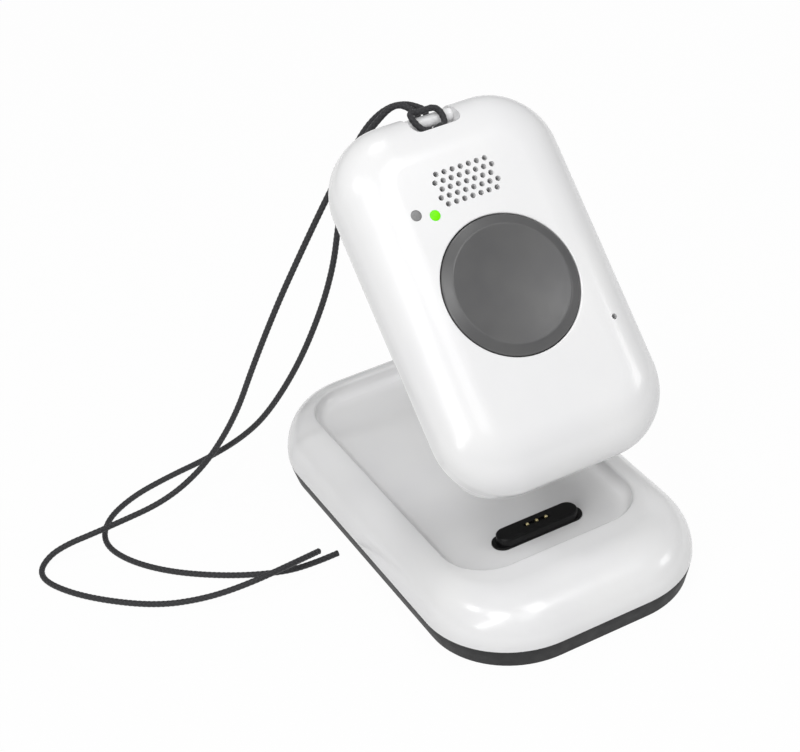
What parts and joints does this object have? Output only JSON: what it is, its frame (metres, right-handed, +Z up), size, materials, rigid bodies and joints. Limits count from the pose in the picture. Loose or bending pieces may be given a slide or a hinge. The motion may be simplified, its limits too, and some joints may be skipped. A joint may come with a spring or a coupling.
{
  "type": "medical alert pendant with charging base",
  "caption": "Low pebble-shaped charging base with a docking recess and spring pins, and a tilted help-button pendant above it with speaker holes, status lights and a neck cord.",
  "frame": {"origin": "on the table under the middle of the charging base, at its foot pad", "axes": "+Z up; -Y towards the end of the base with the spring pins; +X to the right seen from that end"},
  "size_m": [0.1084, 0.0896, 0.0854],
  "materials": {
    "shell_gloss_white": "high gloss moulded shell",
    "base_dark_grey": "satin, lightly textured",
    "button_dark_grey": "soft matte",
    "silicone": "matte",
    "seal_grey": "matte",
    "steel": "zinc plated",
    "board_green": "solder-masked board",
    "chip_black": "moulded package",
    "connector_black": "semi-gloss",
    "gold": "gold plated",
    "magnet_nickel": "nickel plated",
    "spring_steel": "bright wire",
    "window_grey": "translucent light pipe, unlit",
    "window_green": "translucent light pipe, lit green",
    "speaker_black": "matte",
    "mesh_dark": "fine acoustic mesh",
    "shield_can": "tinned sheet",
    "ceramic": "fired ceramic with a silvered patch",
    "battery_foil": "laminated foil pouch",
    "cord_charcoal": "braided polyester"
  },
  "bodies": {
    "cradle": {"cradle_top_shell": "shell_gloss_white", "cradle_base": "base_dark_grey", "cradle_foot_pad": "silicone", "cradle_ballast_plate": "steel", "cradle_screws": "steel", "cradle_circuit_board": "board_green", "cradle_board_parts": "chip_black", "cradle_power_inlet": "shield_can", "charging_connector": "connector_black", "pogo_barrels": "gold", "cradle_magnets": "magnet_nickel", "pogo_spring_left": "spring_steel", "pogo_spring_middle": "spring_steel", "pogo_spring_right": "spring_steel", "lanyard_long_strand": "cord_charcoal", "lanyard_short_strand": "cord_charcoal"},
    "pendant": {"pendant_front_shell": "shell_gloss_white", "pendant_back_cover": "shell_gloss_white", "pendant_seal": "seal_grey", "lanyard_bar": "shell_gloss_white", "help_button_boot": "silicone", "help_switch": "chip_black", "pendant_circuit_board": "board_green", "speaker": "speaker_black", "speaker_mesh": "mesh_dark", "status_leds": "window_grey", "status_window_left": "window_grey", "status_window_right": "window_green", "microphone": "shield_can", "microphone_boot": "silicone", "cell_modem": "shield_can", "satellite_antenna": "ceramic", "cell_antenna": "ceramic", "battery": "battery_foil", "charge_contacts": "gold", "pendant_magnets": "magnet_nickel", "pendant_screws": "steel", "lanyard_hitch": "cord_charcoal"},
    "help_button": {"help_button": "button_dark_grey"},
    "switch_plunger": {"help_switch_plunger": "speaker_black"},
    "pogo_left": {"pogo_pin_left": "gold"},
    "pogo_middle": {"pogo_pin_middle": "gold"},
    "pogo_right": {"pogo_pin_right": "gold"}
  },
  "joints": [
    {"name": "pendant_dock", "type": "hinge", "parent": "cradle", "child": "pendant", "pos_m": [0, -0.04945, 0.01823], "axis": [1, 0, 0], "range_deg": [-47, 0], "deforming": ["lanyard_long_strand", "lanyard_short_strand"]},
    {"name": "help_button_press", "type": "slide", "parent": "pendant", "child": "help_button", "axis": [0, 0.7314, -0.682], "range_m": [0, 0.0004], "stiffness_N_per_m": 150, "springref_m": -0.002, "deforming": ["help_button_boot"]},
    {"name": "help_switch_press", "type": "slide", "parent": "pendant", "child": "switch_plunger", "axis": [0, 0.7314, -0.682], "range_m": [0, 0.0004]},
    {"name": "pogo_left_press", "type": "slide", "parent": "cradle", "child": "pogo_left", "axis": [0, 0, -1], "range_m": [0, 0.0005], "stiffness_N_per_m": 5, "springref_m": -0.002, "deforming": ["pogo_spring_left"]},
    {"name": "pogo_middle_press", "type": "slide", "parent": "cradle", "child": "pogo_middle", "axis": [0, 0, -1], "range_m": [0, 0.0005], "stiffness_N_per_m": 5, "springref_m": -0.002, "deforming": ["pogo_spring_middle"]},
    {"name": "pogo_right_press", "type": "slide", "parent": "cradle", "child": "pogo_right", "axis": [0, 0, -1], "range_m": [0, 0.0005], "stiffness_N_per_m": 5, "springref_m": -0.002, "deforming": ["pogo_spring_right"]}
  ],
  "couplings": [
    {"joint": "help_switch_press", "follows": "help_button_press", "ratio": 1}
  ]
}
